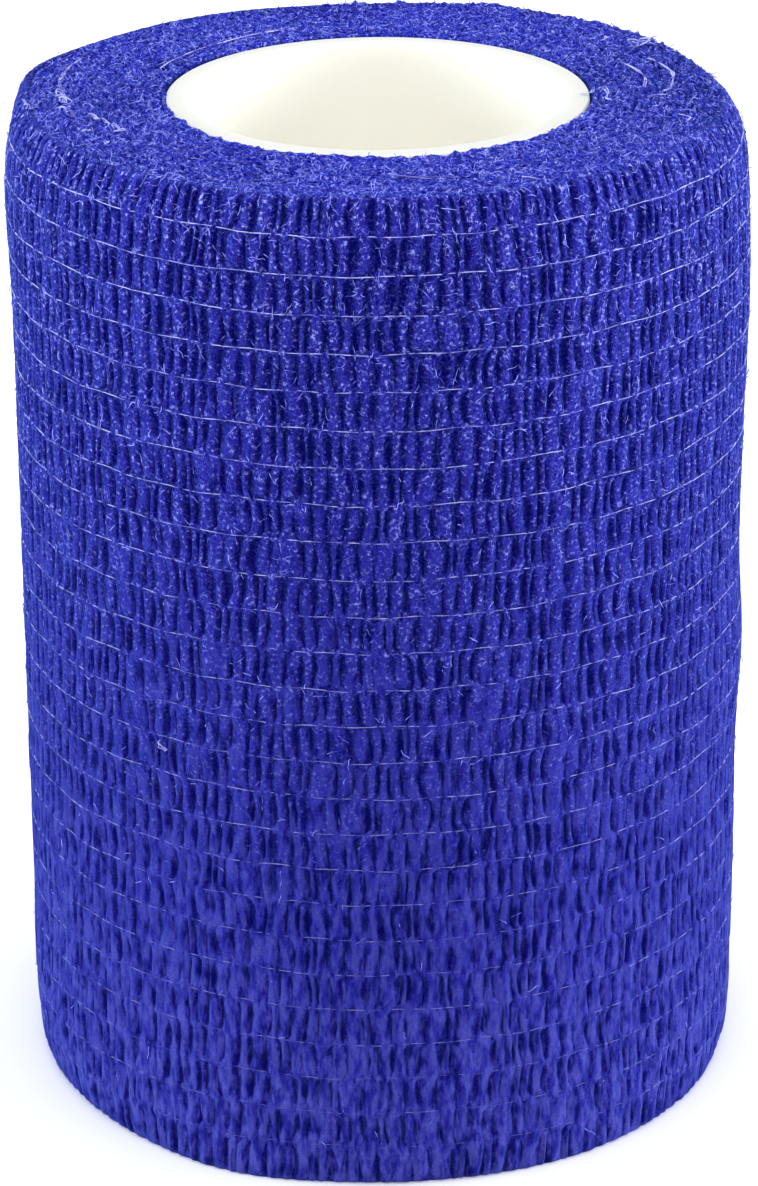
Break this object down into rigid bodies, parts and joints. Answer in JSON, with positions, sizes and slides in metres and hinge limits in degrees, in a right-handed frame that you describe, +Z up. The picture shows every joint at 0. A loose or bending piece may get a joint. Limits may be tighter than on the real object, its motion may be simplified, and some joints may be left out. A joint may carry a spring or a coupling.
{
  "type": "cohesive bandage roll",
  "caption": "Crinkled elastic self-adhering bandage wound on a short white core tube, standing on its end.",
  "frame": {"origin": "middle of the core's bore, in the plane of the end that the roll stands on", "axes": "+Z up along the roll's axis, across the cloth's width; +Y towards the back, where the cloth's cut end lies; -Y towards the side that the picture shows"},
  "size_m": [0.0539, 0.054, 0.075],
  "materials": {
    "bandage_cloth": "matt crinkled nonwoven, royal blue, with fine pale elastic threads",
    "core_plastic": "moulded, warm white, satin"
  },
  "bodies": {
    "root": {"bandage_roll": "bandage_cloth", "core_tube": "core_plastic"}
  },
  "joints": []
}
